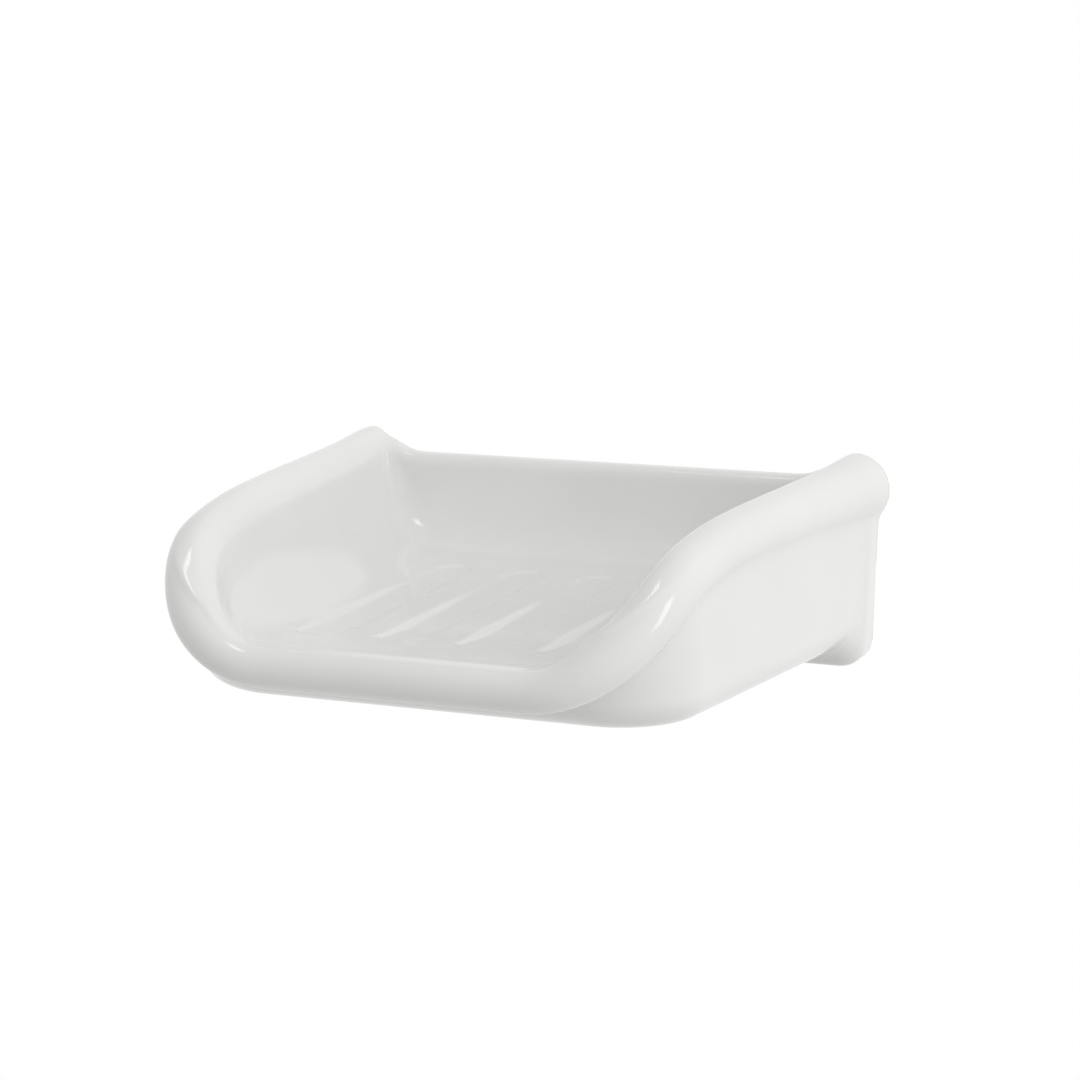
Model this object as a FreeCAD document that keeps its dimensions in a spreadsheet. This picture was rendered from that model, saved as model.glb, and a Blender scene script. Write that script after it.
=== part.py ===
# Wall-hung soap dish in glazed vitreous china, with its concealed hanger and fixings.
# Frame: +X right, +Y into the wall, +Z up. The wall surface is y = 0, and the origin lies
# on it midway between the two screws. Lengths are millimetres, angles degrees.
import FreeCAD, Part
import Sketcher
import math
import os

Vector = FreeCAD.Vector
document = FreeCAD.newDocument("wall_soap_dish")

# Driving dimensions, one row for each size that can be set by itself.
sizes = [
    ("overallWidth", 140.0, "over the two shoulders at the wall"),
    ("rimReach", 119.8, "wall to the centre of the front roll"),
    ("rimFlare", 4.34, "plan angle of each side, wider at the wall"),
    ("rimCornerRadius", 21.6, "plan radius of the bead's centre line"),
    ("rimHeightWall", 35.9, "bead centre above the underside, at the wall"),
    ("rimHeightBack", 35.5, "the same, half way along the side"),
    ("rimHeightFore", 34.8, "the same, three quarters along the side"),
    ("rimHeightCorner", 31.3, "the same, where the corner starts"),
    ("rimHeightTurn", 18.7, "the same, half way round the corner"),
    ("rimHeightFront", 10.4, "the same, along the front roll"),
    ("beadRadiusWall", 8.5, "bead at the shoulder"),
    ("beadRadiusBack", 7.5, "bead just ahead of the shoulder"),
    ("beadRadiusSide", 6.5, "bead half way along the side"),
    ("beadRadiusCorner", 5.9, "bead where the corner starts"),
    ("beadRadiusTurn", 5.8, "bead half way round the front corners"),
    ("beadRadiusFront", 4.2, "front roll"),
    ("wallInset", 4.1, "side face inside the bead's outer edge, at the underside"),
    ("wallFlare", 5.6, "plan angle of each side face, wider at the wall"),
    ("wallLean", 3.0, "outward lean of the side faces"),
    ("frontInset", 16.3, "front face inside the roll's outer edge, at the underside"),
    ("frontLean", 27.0, "outward lean of the front face"),
    ("brimCornerRadius", 26.0, "plan radius of the body's front corners, at the bead's height"),
    ("baseCornerRadius", 18.5, "plan radius of the body's front corners, at the underside"),
    ("baseEdgeRadius", 6.6, "lower outer edge of the body"),
    ("floorHeight", 12.1, "floor above the underside, below the front roll"),
    ("floorFall", 2.1, "fall of the floor towards the front"),
    ("rampRun", 20.0, "length of the rise from the floor to the roll"),
    ("rampRadius", 32.0, "soft turn from floor to rise"),
    ("backFillet", 16.0, "floor to back wall"),
    ("sideFillet", 13.0, "floor to side wall, and inner corners"),
    ("wallDraft", 8.5, "lean of the inner walls"),
    ("innerInset", 7.6, "inner side face from the bead's centre line, at the wall"),
    ("innerFlare", 2.9, "plan angle of each inner side"),
    ("backEdgeHeight", 38.7, "middle of the back edge above the underside"),
    ("backEdgeThickness", 5.0, "back wall at its top edge"),
    ("backEdgeRadius", 2.0, "rounding of the back edge"),
    ("shoulderSlope", 29.0, "slope from the shoulder to the back edge"),
    ("shoulderRadius", 9.0, "turn at the foot of that slope"),
    ("apronInset", 3.4, "side of the back plate inside the bead's outer edge"),
    ("apronDrop", 4.9, "back plate below the underside"),
    ("apronThickness", 9.5, "back plate's depth from the wall"),
    ("apronCornerRadius", 6.0, "lower corners of the back plate"),
    ("apronEdgeRadius", 3.5, "front lower edge of the back plate"),
    ("grooveCount", 4, "drain grooves side by side"),
    ("groovePitch", 18.5, "groove to groove"),
    ("grooveWidth", 9.4, "across one groove"),
    ("grooveLength", 76.0, "end to end"),
    ("grooveDepth", 1.5, "below the floor"),
    ("grooveInset", 18.8, "centre of the front roll to the grooves' front ends"),
    ("screwRise", 1.5, "screw line above the underside"),
    ("wallGap", 0.6, "china held off the wall by the pads"),
    ("pocketPlay", 4.0, "hanger to each side of its pocket"),
    ("pocketDepth", 6.3, "hanger pocket from the wall"),
    ("lipThickness", 3.0, "hanging lip of the china"),
    ("lipHeight", 5.0, "hanging lip, top to bottom"),
    ("lipRise", 8.0, "lip's seat above the underside"),
    ("seatGap", 0.1, "lip to hook"),
    ("hookGap", 0.6, "lip to the hook's tongue"),
    ("tongueGap", 0.5, "tongue to the slot's top"),
    ("plateWidth", 76.0, "hanger"),
    ("plateThickness", 1.5, "hanger sheet"),
    ("plateDrop", 5.0, "hanger below the screw line"),
    ("plateBendRadius", 0.6, "inside of the hanger's bends"),
    ("plateCornerRadius", 3.0, "hanger's lower corners"),
    ("screwSpacing", 50.0, "between the two screws"),
    ("slotLength", 7.0, "hanger's screw slots, end to end"),
    ("slotWidth", 4.2, "hanger's screw slots"),
    ("screwRadius", 1.75, "screw shank"),
    ("screwLength", 35.0, "under the head"),
    ("screwPoint", 4.0, "tapered point"),
    ("headRadius", 3.4, "pan head"),
    ("headHeight", 2.3, "pan head"),
    ("headRound", 1.2, "edge of the pan head"),
    ("recessReach", 1.9, "cross recess from the axis"),
    ("recessWidth", 0.9, "cross recess"),
    ("recessDepth", 1.4, "cross recess"),
    ("washerRadius", 4.0, "outside"),
    ("washerBore", 2.1, "hole radius"),
    ("washerThickness", 0.8, "sheet"),
    ("plugRadius", 3.0, "wall plug, outside"),
    ("plugLength", 30.0, "wall plug"),
    ("plugWall", 1.2, "wall plug's wall at the mouth"),
    ("plugFit", 0.05, "screw in its plug"),
    ("plugSlit", 0.9, "expansion slit"),
    ("plugMouth", 8.0, "whole stretch of the plug at its mouth"),
    ("plugNose", 1.2, "chamfer at the far end"),
    ("plugRingDepth", 0.35, "grip rings"),
    ("plugRingWidth", 1.0, "grip rings"),
    ("plugRingCount", 5, "grip rings"),
    ("padRadius", 4.5, "wall pad"),
    ("padThickness", 1.6, "wall pad"),
    ("padEdge", 0.3, "rounding of the wall pad"),
    ("padInset", 16.0, "pads from the dish's widest point"),
    ("padUpper", 27.5, "upper pads above the underside"),
    ("padLower", 1.3, "lower pads above the underside"),
    ("socketPlay", 0.15, "pad in its socket, all round"),
    ("overrun", 30.0, "how far cutting and spare shapes pass what they meet"),
]

sheet = document.addObject("Spreadsheet::Sheet", "Sizes")
for row, (alias, value, note) in enumerate(sizes, 1):
    sheet.set(f"A{row}", alias)
    sheet.set(f"B{row}", str(value))
    sheet.set(f"C{row}", note)
    sheet.setAlias(f"B{row}", alias)

# Places that follow from the driving dimensions, kept in the sheet as formulas.
places = [
    ("baseHeight", "=-screwRise"),
    ("lipSeat", "=lipRise - screwRise"),
    ("slotTop", "=lipRise - screwRise + lipHeight"),
    ("hookTop", "=lipRise - screwRise - seatGap"),
    ("hookUnder", "=lipRise - screwRise - seatGap - plateThickness"),
    ("tongueTop", "=lipRise - screwRise + lipHeight - tongueGap"),
    ("tongueBack", "=-(wallGap + lipThickness + hookGap)"),
    ("tongueFront", "=-(wallGap + lipThickness + hookGap + plateThickness)"),
    ("plateFront", "=-plateThickness"),
    ("plateFoot", "=-plateDrop"),
    ("washerFront", "=-(plateThickness + washerThickness)"),
    ("headFront", "=-(plateThickness + washerThickness + headHeight)"),
    ("headFace", "=plateThickness + washerThickness + headHeight"),
    ("screwTip", "=screwLength - plateThickness - washerThickness"),
    ("screwTaper", "=screwLength - plateThickness - washerThickness - screwPoint"),
    ("plugBore", "=screwRadius + plugFit"),
    ("halfSpacing", "=screwSpacing / 2"),
    ("bendOutside", "=plateBendRadius + plateThickness"),
    ("pocketWidth", "=plateWidth + 2 * pocketPlay"),
    ("padSide", "=overallWidth / 2 - padInset"),
    ("innerHalfWidth", "=overallWidth / 2 - beadRadiusWall - innerInset"),
    ("grooveFront", "=rimReach - grooveInset"),
]
for row, (alias, formula) in enumerate(places, len(sizes) + 1):
    sheet.set(f"A{row}", alias)
    sheet.set(f"B{row}", formula)
    sheet.setAlias(f"B{row}", alias)
document.recompute()


def size(alias):
    """The value that the sheet holds for a name."""
    return float(getattr(sheet, alias))


def bind(thing, **expressions):
    """Ties properties of a document object to the sheet."""
    for name, expression in expressions.items():
        thing.setExpression(name.replace("__", "."), expression)


# Heights in the sheet are above the underside; the row frame has the screw line at z = 0.
baseZ = size("baseHeight")


def monotone(places, values, place):
    """A smooth curve through stations that never overshoots them."""
    count = len(places)
    slopes = [(values[k + 1] - values[k]) / (places[k + 1] - places[k]) for k in range(count - 1)]
    tangents = [0.0] * count
    for k in range(1, count - 1):
        if slopes[k - 1] * slopes[k] > 0:
            tangents[k] = 2 / (1 / slopes[k - 1] + 1 / slopes[k])
    if place <= places[0]:
        return values[0]
    if place >= places[-1]:
        return values[-1]
    k = max(j for j in range(count - 1) if places[j] <= place)
    span = places[k + 1] - places[k]
    u = (place - places[k]) / span
    return (
        values[k] * (1 + 2 * u) * (1 - u) ** 2
        + values[k + 1] * u * u * (3 - 2 * u)
        + span * tangents[k] * u * (1 - u) ** 2
        + span * tangents[k + 1] * u * u * (u - 1)
    )


# The bead's centre line in plan: a straight side, a corner arc and the front.
flare = math.radians(size("rimFlare"))
rimHalfWidth = size("overallWidth") / 2 - size("beadRadiusWall")
cornerRadius = size("rimCornerRadius")
sideLength = (size("rimReach") - cornerRadius * (1 - math.sin(flare))) / math.cos(flare)
cornerLength = cornerRadius * (math.pi / 2 - flare)
sideEnd = Vector(rimHalfWidth - sideLength * math.sin(flare), -sideLength * math.cos(flare), 0)
cornerCentre = sideEnd + Vector(-math.cos(flare), math.sin(flare), 0) * cornerRadius
rimLength = sideLength + cornerLength + cornerCentre.x

# Stations along that line, as shares of the side and of the corner.
rampShare = 0.85        # how high on the front roll the ramp ends
sunkShare = 0.7         # how deep inside the bead the slope from the back edge ends
slabShare = 1.5         # how far above the front roll's centre the slab under the floor goes
lipShare = 0.75         # how far below that centre the slab's underside lies
sinkShare = 0.6         # how deep inside the roll the slab's edge ends
backShare, middleShare, foreShare, turnShare = 0.15, 0.5, 0.75, 0.5
heightStations = [
    (0, "rimHeightWall"),
    (middleShare * sideLength, "rimHeightBack"),
    (foreShare * sideLength, "rimHeightFore"),
    (sideLength, "rimHeightCorner"),
    (sideLength + turnShare * cornerLength, "rimHeightTurn"),
    (sideLength + cornerLength, "rimHeightFront"),
]
radiusStations = [
    (0, "beadRadiusWall"),
    (backShare * sideLength, "beadRadiusBack"),
    (middleShare * sideLength, "beadRadiusSide"),
    (sideLength, "beadRadiusCorner"),
    (sideLength + turnShare * cornerLength, "beadRadiusTurn"),
    (sideLength + cornerLength, "beadRadiusFront"),
]


def station(stations, length):
    places = [place for place, alias in stations]
    return monotone(places, [size(alias) for place, alias in stations], length)


def rimPoint(length):
    """Centre of the bead at a length along the right half, from the wall to the middle of the front."""
    if length <= sideLength:
        point = Vector(rimHalfWidth - length * math.sin(flare), -length * math.cos(flare), 0)
    elif length <= sideLength + cornerLength:
        turn = -flare - (length - sideLength) / cornerRadius
        point = cornerCentre + Vector(math.cos(turn), math.sin(turn), 0) * cornerRadius
    else:
        point = Vector(rimLength - length, -size("rimReach"), 0)
    point.z = baseZ + station(heightStations, length)
    return point


def solidOf(face, way):
    return face.extrude(way)


def faceOf(edges):
    return Part.Face(Part.Wire(edges))


def roundedPlan(halfWidth, slope, reach, radius, height):
    """A plan outline: straight back at the wall, tapering sides, rounded front corners."""
    corner = Vector(halfWidth - math.tan(slope) * reach, -reach, height)
    run = radius / math.tan((math.pi / 2 + slope) / 2)
    sideStart = Vector(halfWidth, 0, height)
    arcStart = corner + Vector(math.sin(slope), math.cos(slope), 0) * run
    arcEnd = corner - Vector(run, 0, 0)
    centre = arcEnd + Vector(0, radius, 0)
    arcMiddle = centre + (corner - centre).normalize() * radius
    mirrored = [Vector(-p.x, p.y, p.z) for p in (sideStart, arcStart, arcMiddle, arcEnd)]
    return faceOf([
        Part.LineSegment(sideStart, arcStart).toShape(),
        Part.Arc(arcStart, arcMiddle, arcEnd).toShape(),
        Part.LineSegment(arcEnd, mirrored[3]).toShape(),
        Part.Arc(mirrored[3], mirrored[2], mirrored[1]).toShape(),
        Part.LineSegment(mirrored[1], mirrored[0]).toShape(),
        Part.LineSegment(mirrored[0], sideStart).toShape(),
    ])


def filletedChain(points, radii):
    """Edges of a polyline whose inner corners are rounded with the radii given."""
    edges, start = [], points[0]
    for before, corner, after, radius in zip(points, points[1:], points[2:], radii):
        inward, outward = (before - corner).normalize(), (after - corner).normalize()
        half = inward.getAngle(outward) / 2
        first = corner + inward * (radius / math.tan(half))
        last = corner + outward * (radius / math.tan(half))
        centre = corner + (inward + outward).normalize() * (radius / math.sin(half))
        middle = centre + (corner - centre).normalize() * radius
        edges += [Part.LineSegment(start, first).toShape(), Part.Arc(first, middle, last).toShape()]
        start = last
    return edges + [Part.LineSegment(start, points[-1]).toShape()]


tiny = 1e-3
overrun = size("overrun")
sideLean, frontLean = (math.tan(math.radians(size(alias))) for alias in ("wallLean", "frontLean"))
wallFlare = math.radians(size("wallFlare"))
fall = math.tan(math.radians(size("floorFall")))
rampCrest = baseZ + size("rimHeightFront") + rampShare * size("beadRadiusFront")


def floorAt(y):
    return baseZ + size("floorHeight") + fall * (y + size("rimReach"))


def backFaceAt(z):
    """Front of the back wall at a height: vertical distance below its top times the draft."""
    drop = baseZ + size("backEdgeHeight") - z
    return -size("backEdgeThickness") - math.tan(math.radians(size("wallDraft"))) * drop


def makeBead():
    """The round bead along both sides and the front, as a loft of circles."""
    sideSteps, cornerSteps = 12, 9
    lengths = [sideLength * k / sideSteps for k in range(sideSteps)]
    lengths += [sideLength + cornerLength * k / cornerSteps for k in range(cornerSteps + 1)]
    half = [(rimPoint(length), station(radiusStations, length)) for length in lengths]
    wall, wallRadius = half[0]
    way = (wall - half[1][0]).normalize()
    half.insert(0, (wall + way * size("beadRadiusWall"), wallRadius))
    middle = (rimPoint(rimLength), size("beadRadiusFront"))
    mirrored = [(Vector(-p.x, p.y, p.z), radius) for p, radius in reversed(half)]
    stations = half + [middle] + mirrored
    circles = []
    for k, (centre, radius) in enumerate(stations):
        ahead = stations[min(k + 1, len(stations) - 1)][0]
        behind = stations[max(k - 1, 0)][0]
        tangent = (ahead - behind).normalize()
        turned = FreeCAD.Rotation(Vector(0, 0, 1), Vector(), tangent, "ZXY")
        circle = Part.makeCircle(radius)
        circle.Placement = FreeCAD.Placement(centre, turned)
        circles.append(Part.Wire([circle]))
    return Part.makeLoft(circles, True, False)


def makeProfilePrism(points, radii, closing):
    """A prism across the whole width: a rounded chain of (y, z) corners, then the closing ones."""
    place = -size("overallWidth")
    corners = [Vector(place, y, z) for y, z in points]
    rest = [corners[-1]] + [Vector(place, y, z) for y, z in closing] + [corners[0]]
    edges = filletedChain(corners, radii)
    edges += [Part.LineSegment(a, b).toShape() for a, b in zip(rest, rest[1:])]
    return solidOf(faceOf(edges), Vector(2 * size("overallWidth"), 0, 0))


def makeRoom():
    """The room inside the dish, which the walls and the floor are cut with."""
    top = baseZ + size("backEdgeHeight") + overrun
    front = -size("rimReach") - overrun
    rampFoot = -size("rimReach") + size("rampRun")
    rise = (rampCrest - floorAt(rampFoot)) / size("rampRun")
    backFoot = backFaceAt(floorAt(0))
    profile = makeProfilePrism(
        [
            (front, rampCrest + rise * overrun),
            (rampFoot, floorAt(rampFoot)),
            (backFoot, floorAt(backFoot)),
            (backFaceAt(top), top),
        ],
        [size("rampRadius"), size("backFillet")],
        [(front, top)],
    )
    lean = math.tan(math.radians(size("wallDraft")))
    narrowing = math.tan(math.radians(size("innerFlare")))
    rimHeight = baseZ + size("rimHeightWall")
    sections = []
    for height in (baseZ, top):
        halfWidth = size("innerHalfWidth") + lean * (height - rimHeight)
        behind = halfWidth + narrowing * overrun
        ahead = halfWidth + narrowing * front - narrowing * overrun
        far = front - overrun
        corners = [(behind, overrun), (ahead, far), (-ahead, far), (-behind, overrun)]
        sections.append(Part.makePolygon([Vector(x, y, height) for x, y in corners + corners[:1]]))
    room = profile.common(Part.makeLoft(sections, True, True))
    seams = []
    for edge in room.Edges:
        box = edge.BoundBox
        across = box.XLength > size("innerHalfWidth")
        outside = box.ZMax - box.ZMin < tiny and box.ZMin > top - tiny or box.YMax < front + tiny
        if not across and not outside:
            seams.append(edge)
    return room.makeFillet(size("sideFillet"), seams)


def bodyPlan(height):
    """The body's outline at a height above the underside: its faces lean out as they rise."""
    halfWidth = size("overallWidth") / 2 - size("wallInset") + sideLean * height
    reach = size("rimReach") + size("beadRadiusFront") - size("frontInset") + frontLean * height
    grown = (size("brimCornerRadius") - size("baseCornerRadius")) * height / size("rimHeightWall")
    return roundedPlan(halfWidth, wallFlare, reach, size("baseCornerRadius") + grown, baseZ + height)


def wallTop(length):
    """The bead's centre line moved out or in to the face of the wall."""
    point = rimPoint(length)
    around = max(0, length - sideLength)
    turn = -flare - around / cornerRadius
    side = station(radiusStations, length) - size("wallInset") + sideLean * size("rimHeightWall")
    front = size("beadRadiusFront") - size("frontInset") + frontLean * size("rimHeightFront")
    out = side + (front - side) * around / cornerLength
    return point + Vector(math.cos(turn), math.sin(turn), 0) * out


def rimCurtain():
    """Everything under the bead's centre line, seen from the side, as a prism across the width."""
    steps = 14
    lengths = [(sideLength + cornerLength) * k / steps for k in range(steps + 1)]
    points = [wallTop(length) for length in lengths]
    raised = size("backEdgeHeight") - size("backEdgeRadius") - size("rimHeightWall")
    for point, length in zip(points, lengths):
        point.z += raised * max(0, 1 - length / (foreShare * sideLength))
    place = -size("overallWidth")
    curve = Part.BSplineCurve()
    curve.interpolate([Vector(place, p.y, p.z) for p in points])
    first, last = curve.value(curve.FirstParameter), curve.value(curve.LastParameter)
    low = baseZ - overrun
    rest = [last, Vector(place, last.y - overrun, last.z), Vector(place, last.y - overrun, low)]
    rest += [Vector(place, overrun, low), Vector(place, overrun, first.z), first]
    edges = [curve.toShape()] + [Part.LineSegment(a, b).toShape() for a, b in zip(rest, rest[1:])]
    return solidOf(faceOf(edges), Vector(2 * size("overallWidth"), 0, 0))


def makeWalls():
    """The body's outer walls, up to the middle of the bead, with a round lower edge."""
    sections = [bodyPlan(height).OuterWire for height in (0, size("rimHeightWall") + size("beadRadiusWall"))]
    block = Part.makeLoft(sections, True, True)
    lower = [e for e in block.Edges if e.BoundBox.ZMax < baseZ + tiny and e.BoundBox.YMin < -tiny]
    return block.makeFillet(size("baseEdgeRadius"), lower).common(rimCurtain())


def makeFloor():
    """A slab under the floor that reaches into the front roll, which the room is cut into."""
    radius = size("beadRadiusFront")
    low = baseZ + size("rimHeightFront") - lipShare * radius
    sunk = sinkShare * radius
    plan = roundedPlan(rimHalfWidth - sunk, flare, size("rimReach") - sunk, cornerRadius + sunk, low)
    return solidOf(plan, Vector(0, 0, (lipShare + slabShare) * radius))


def shoulderOutline():
    """Front view of the back wall: flat edge, soft turn, slope up to each shoulder's bead."""
    slope = math.radians(size("shoulderSlope"))
    slopeReach = sunkShare * size("beadRadiusBack")
    beadCentre = Vector(rimHalfWidth, 0, baseZ + size("rimHeightWall"))
    touch = beadCentre + Vector(-math.sin(slope), 0, math.cos(slope)) * slopeReach
    edge = baseZ + size("backEdgeHeight")
    foot = Vector(touch.x - (touch.z - edge) / math.tan(slope), 0, edge)
    right = [beadCentre, touch, foot]
    left = [Vector(-p.x, 0, p.z) for p in reversed(right)]
    radius = size("shoulderRadius")
    chain = filletedChain([touch, foot] + left[:2], [radius, radius])
    low = [left[2], Vector(left[2].x, 0, baseZ), Vector(right[0].x, 0, baseZ), right[0], touch]
    ring = [left[1]] + low
    return chain + [Part.LineSegment(a, b).toShape() for a, b in zip(ring, ring[1:])]


def makeBackWall():
    """The top of the back wall, deep enough to fill the soft inner corners."""
    depth = size("backEdgeThickness") + size("sideFillet")
    return solidOf(faceOf(shoulderOutline()), Vector(0, -depth, 0))


def makeApron():
    """The back plate that hangs below the underside and hides the hanger."""
    low = baseZ - size("apronDrop")
    halfWidth, radius = size("overallWidth") / 2 - size("apronInset"), size("apronCornerRadius")
    high = baseZ + size("rimHeightWall")
    corners = [(halfWidth, high), (halfWidth, low), (-halfWidth, low), (-halfWidth, high)]
    points = [Vector(x, 0, z) for x, z in corners]
    edges = filletedChain(points, [radius, radius])
    edges.append(Part.LineSegment(points[-1], points[0]).toShape())
    plate = solidOf(faceOf(edges), Vector(0, -size("apronThickness"), 0))
    front = -size("apronThickness") + tiny
    soft = [e for e in plate.Edges if e.BoundBox.YMax < front and e.BoundBox.ZMin < high - tiny]
    return plate.makeFillet(size("apronEdgeRadius"), soft)


def cutterBox(name, length, width, height, place):
    """A box bound to the sheet, used to cut a pocket. place holds expressions for x, y and z."""
    box = document.addObject("Part::Box", name)
    bind(box, Length=length, Width=width, Height=height)
    for axis, expression in zip("xyz", place):
        box.setExpression(f"Placement.Base.{axis}", expression)
    return box


def cutterDisc(name, radius, depth, place):
    """A cylinder along +Y bound to the sheet."""
    disc = document.addObject("Part::Cylinder", name)
    disc.Placement.Rotation = FreeCAD.Rotation(Vector(1, 0, 0), -90)
    bind(disc, Radius=radius, Height=depth)
    for axis, expression in zip("xyz", place):
        disc.setExpression(f"Placement.Base.{axis}", expression)
    return disc


def makeGroove(x):
    """One pill-shaped drain groove with a soft bottom edge, on the sloping floor."""
    half = size("grooveWidth") / 2
    straight = size("grooveLength") - size("grooveWidth")
    low = Vector(x - half, 0, -size("grooveDepth"))
    start, end = low, low + Vector(0, straight, 0)
    across = Vector(size("grooveWidth"), 0, 0)
    farEnd = Part.Arc(end, end + Vector(half, half, 0), end + across).toShape()
    nearEnd = Part.Arc(start + across, start + Vector(half, -half, 0), start).toShape()
    sides = [Part.LineSegment(start, end), Part.LineSegment(end + across, start + across)]
    outline = [sides[0].toShape(), farEnd, sides[1].toShape(), nearEnd]
    slot = solidOf(faceOf(outline), Vector(0, 0, size("grooveDepth") + size("sideFillet")))
    bottom = [e for e in slot.Edges if e.BoundBox.ZMax < tiny - size("grooveDepth")]
    slot = slot.makeFillet(size("grooveDepth") - tiny, bottom)
    slot.rotate(Vector(), Vector(1, 0, 0), size("floorFall"))
    front = half - size("grooveFront")
    slot.translate(Vector(0, front, floorAt(front)))
    return slot


def makeBlank():
    """The china as cast, before its grooves, pocket and sockets."""
    blank = makeWalls().fuse([makeFloor(), makeBackWall(), makeApron()]).cut(makeRoom())
    blank = blank.removeSplitter().fuse([makeBead()])
    across = 2 * size("overallWidth")
    corner = Vector(-size("overallWidth"), -size("wallGap"), -across / 2)
    blank = blank.cut(Part.makeBox(across, size("overallWidth"), across, corner))
    return blank.removeSplitter()


def feature(name, shape):
    thing = document.addObject("Part::Feature", name)
    thing.Shape = shape
    return thing


def joined(kind, name, shapes):
    """A boolean of document objects: Part::MultiFuse joins them, Part::Cut takes the second away."""
    thing = document.addObject(kind, name)
    if kind == "Part::Cut":
        thing.Base, thing.Tool = shapes
    else:
        thing.Shapes = shapes
    return thing


def makeDish():
    """The china: the blank less its drain grooves, the hanger pocket and the pad sockets."""
    blank = feature("Blank", makeBlank())
    count = int(size("grooveCount"))
    tools = []
    for k in range(count):
        x = (k - (count - 1) / 2) * size("groovePitch")
        tools.append(feature(f"Groove{k + 1}", makeGroove(x)))
    pocketFoot = "Sizes.baseHeight - Sizes.apronDrop * 2"
    tools.append(cutterBox(
        "PocketLower", "Sizes.pocketWidth", "Sizes.pocketDepth * 2",
        "Sizes.lipRise + Sizes.apronDrop * 2",
        ("-Sizes.pocketWidth / 2", "-Sizes.pocketDepth", pocketFoot),
    ))
    tools.append(cutterBox(
        "PocketSlot", "Sizes.pocketWidth", "Sizes.pocketDepth - Sizes.wallGap - Sizes.lipThickness",
        "Sizes.lipHeight * 2",
        ("-Sizes.pocketWidth / 2", "-Sizes.pocketDepth", "Sizes.slotTop - Sizes.lipHeight * 2"),
    ))
    for name, side, height in padPlaces:
        tools.append(cutterDisc(
            "Socket_" + name, "Sizes.padRadius + Sizes.socketPlay", "Sizes.padThickness * 2",
            (f"{side} * Sizes.padSide", "-Sizes.padThickness", height),
        ))
    dish = joined("Part::Cut", "Dish", [blank, joined("Part::MultiFuse", "DishCuts", tools)])
    dish.Label = "dish"
    return dish


padPlaces = [
    ("left_upper", -1, "Sizes.baseHeight + Sizes.padUpper"),
    ("right_upper", 1, "Sizes.baseHeight + Sizes.padUpper"),
    ("left_lower", -1, "Sizes.baseHeight + Sizes.padLower"),
    ("right_lower", 1, "Sizes.baseHeight + Sizes.padLower"),
]
sides = [("left", -1), ("right", 1)]


def newBody(name, x=None):
    """A body, moved sideways by an expression if one is given."""
    body = document.addObject("PartDesign::Body", name)
    body.Label = name
    if x:
        body.setExpression("Placement.Base.x", x)
    return body


def newSketch(body, name, role):
    """An empty sketch on one of the body's own planes."""
    sketch = body.newObject("Sketcher::SketchObject", name)
    plane = next(f for f in body.Origin.OriginFeatures if f.Role == role)
    sketch.AttachmentSupport = [(plane, "")]
    sketch.MapMode = "FlatFace"
    return sketch


def hold(sketch, kind, geometry, position, expression, guess=1.0):
    """One dimension of a sketch, driven by an expression."""
    index = sketch.addConstraint(Sketcher.Constraint(kind, geometry, position, guess))
    sketch.setExpression(f"Constraints[{index}]", expression)


def outline(body, name, role, corners):
    """A closed outline of straight lines with each corner held by a pair of expressions."""
    sketch = newSketch(body, name, role)
    count = len(corners)
    angles = [2 * math.pi * k / count for k in range(count)]
    guess = [Vector(math.cos(angle), math.sin(angle), 0) for angle in angles]
    for k in range(count):
        sketch.addGeometry(Part.LineSegment(guess[k], guess[(k + 1) % count]), False)
    for k in range(count):
        sketch.addConstraint(Sketcher.Constraint("Coincident", k, 2, (k + 1) % count, 1))
    for k, (x, y) in enumerate(corners):
        hold(sketch, "DistanceX", k, 1, x)
        hold(sketch, "DistanceY", k, 1, y)
    return sketch


def spun(body, name, role, corners):
    """A full turn of an outline about the sketch's upright axis."""
    sketch = outline(body, name + "Outline", role, corners)
    turn = body.newObject("PartDesign::Revolution", name)
    turn.Profile = sketch
    turn.ReferenceAxis = (sketch, ["V_Axis"])
    turn.Angle = 360
    return turn


def cutBy(body, sketch, name, depth):
    """A pocket with a depth given by an expression."""
    pocket = body.newObject("PartDesign::Pocket", name)
    pocket.Profile = sketch
    bind(pocket, Length=depth)
    return pocket


def rounded(body, base, name, radius, wanted):
    """Rounds the edges that the given test picks."""
    document.recompute()
    picked = [f"Edge{k}" for k, edge in enumerate(base.Shape.Edges, 1) if wanted(edge.BoundBox)]
    fillet = body.newObject("PartDesign::Fillet", name)
    fillet.Base = (base, picked)
    bind(fillet, Radius=radius)
    return fillet


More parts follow.
